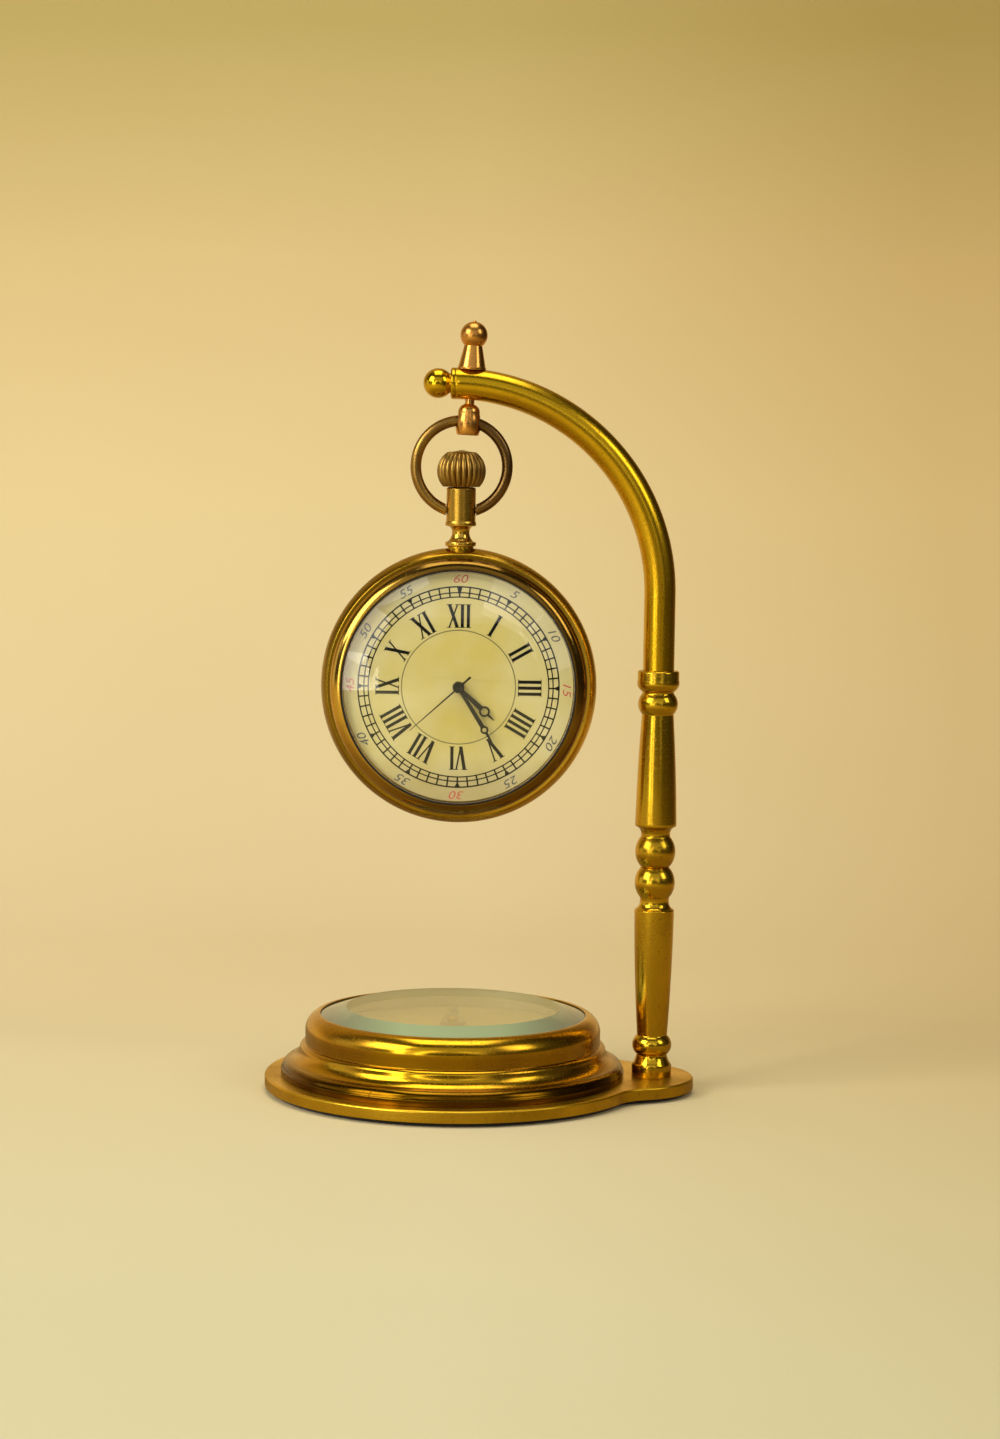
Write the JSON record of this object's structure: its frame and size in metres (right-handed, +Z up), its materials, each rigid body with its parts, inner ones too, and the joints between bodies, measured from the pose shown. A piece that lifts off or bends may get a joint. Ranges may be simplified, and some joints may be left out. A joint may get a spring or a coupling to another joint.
{
  "type": "desk clock",
  "caption": "Pocket watch hanging by its bow from an arched brass desk stand, with a compass under thick bevelled glass in the round base.",
  "frame": {"origin": "on the table, under the middle of the compass in the base", "axes": "+Z up, the watch dial faces -Y, the column stands on +X"},
  "size_m": [0.08, 0.07, 0.143],
  "materials": {
    "antique_brass": "polished cast and turned brass under a warm lacquer, darker in the grooves",
    "case_bronze": "brown antiqued brass, polished on the high spots",
    "bezel_copper": "coppery polished bezel",
    "movement_brass": "stamped and turned movement brass",
    "steel": "bright steel",
    "hand_black": "thin stamped hands, black lacquer",
    "bevelled_glass": "thick clear glass with a green edge and a polished bevel",
    "crystal_glass": "domed clear watch crystal",
    "dial_paper": "aged cream paper on a thin plate, printed",
    "compass_card": "printed pale green card",
    "needle_blue": "blued steel, one half lacquered red",
    "felt": "dark felt",
    "backing": "fibre board",
    "holder": "moulded plastic",
    "spacer": "dark ring under the glass",
    "gasket": "thin black gasket",
    "copper_wire": "enamelled copper wire on an iron core"
  },
  "bodies": {
    "stand": {"felt_pad": "felt", "base_plate": "antique_brass", "column_screw": "steel", "housing_screws": "steel", "compass_housing": "antique_brass", "compass_glass": "bevelled_glass", "glass_spacer_ring": "spacer", "compass_dial": "compass_card", "dial_backing": "backing", "compass_pivot": "movement_brass", "lower_column": "antique_brass", "column_stud": "steel", "upper_column": "antique_brass", "arm": "antique_brass", "arm_end_ball": "antique_brass", "hanger_eye": "antique_brass", "hanger_finial": "antique_brass"},
    "needle": {"compass_needle": "needle_blue", "needle_cap": "movement_brass"},
    "bow": {"bow": "case_bronze"},
    "watch": {"case_band": "case_bronze", "case_back": "case_bronze", "bezel": "bezel_copper", "crystal": "crystal_glass", "crystal_gasket": "gasket", "pendant_tube": "case_bronze", "watch_dial": "dial_paper", "movement_holder": "holder", "main_plate": "movement_brass", "train_bridge": "movement_brass", "bridge_screws": "steel", "battery": "steel", "battery_clip": "steel", "coil": "copper_wire", "circuit_board": "holder", "dial_washer": "movement_brass"},
    "lever": {"setting_lever": "steel"},
    "crown": {"crown": "case_bronze", "setting_stem": "steel"},
    "minute": {"cannon_pinion": "movement_brass", "minute_hand": "hand_black"},
    "minute_wheel": {"minute_wheel": "movement_brass"},
    "hour": {"hour_wheel": "movement_brass", "hour_hand": "hand_black"},
    "seconds": {"seconds_arbor": "steel", "second_hand": "hand_black"}
  },
  "joints": [
    {"name": "needle_turn", "type": "hinge", "parent": "stand", "child": "needle", "pos_m": [0, 0, 0.0078], "axis": [0, 0, 1], "continuous": true},
    {"name": "bow_swing", "type": "hinge", "parent": "stand", "child": "bow", "pos_m": [0.00029, 0, 0.116], "axis": [0, 1, 0], "range_deg": [-9, 60]},
    {"name": "watch_tilt", "type": "hinge", "parent": "bow", "child": "watch", "pos_m": [0.00029, 0, 0.10806], "axis": [1, 0, 0], "range_deg": [-75, 75]},
    {"name": "crown_pull", "type": "slide", "parent": "watch", "child": "lever", "axis": [0, 0, 1], "range_m": [0, 0.001]},
    {"name": "crown_turn", "type": "hinge", "parent": "lever", "child": "crown", "pos_m": [0.00029, 0, 0.11231], "axis": [0, 0, 1], "continuous": true},
    {"name": "minute_hand_turn", "type": "hinge", "parent": "watch", "child": "minute", "pos_m": [0.00029, -0.004, 0.07561], "axis": [0, 1, 0], "continuous": true},
    {"name": "minute_wheel_turn", "type": "hinge", "parent": "watch", "child": "minute_wheel", "pos_m": [0.00469, -0.0022, 0.07561], "axis": [0, 1, 0], "continuous": true},
    {"name": "hour_hand_turn", "type": "hinge", "parent": "watch", "child": "hour", "pos_m": [0.00029, -0.004, 0.07561], "axis": [0, 1, 0], "continuous": true},
    {"name": "second_hand_turn", "type": "hinge", "parent": "watch", "child": "seconds", "pos_m": [0.00029, -0.004, 0.07561], "axis": [0, 1, 0], "continuous": true}
  ],
  "couplings": [
    {"joint": "minute_wheel_turn", "follows": "minute_hand_turn", "ratio": -0.33333},
    {"joint": "hour_hand_turn", "follows": "minute_hand_turn", "ratio": 0.083333},
    {"joint": "second_hand_turn", "follows": "minute_hand_turn", "ratio": 60}
  ]
}
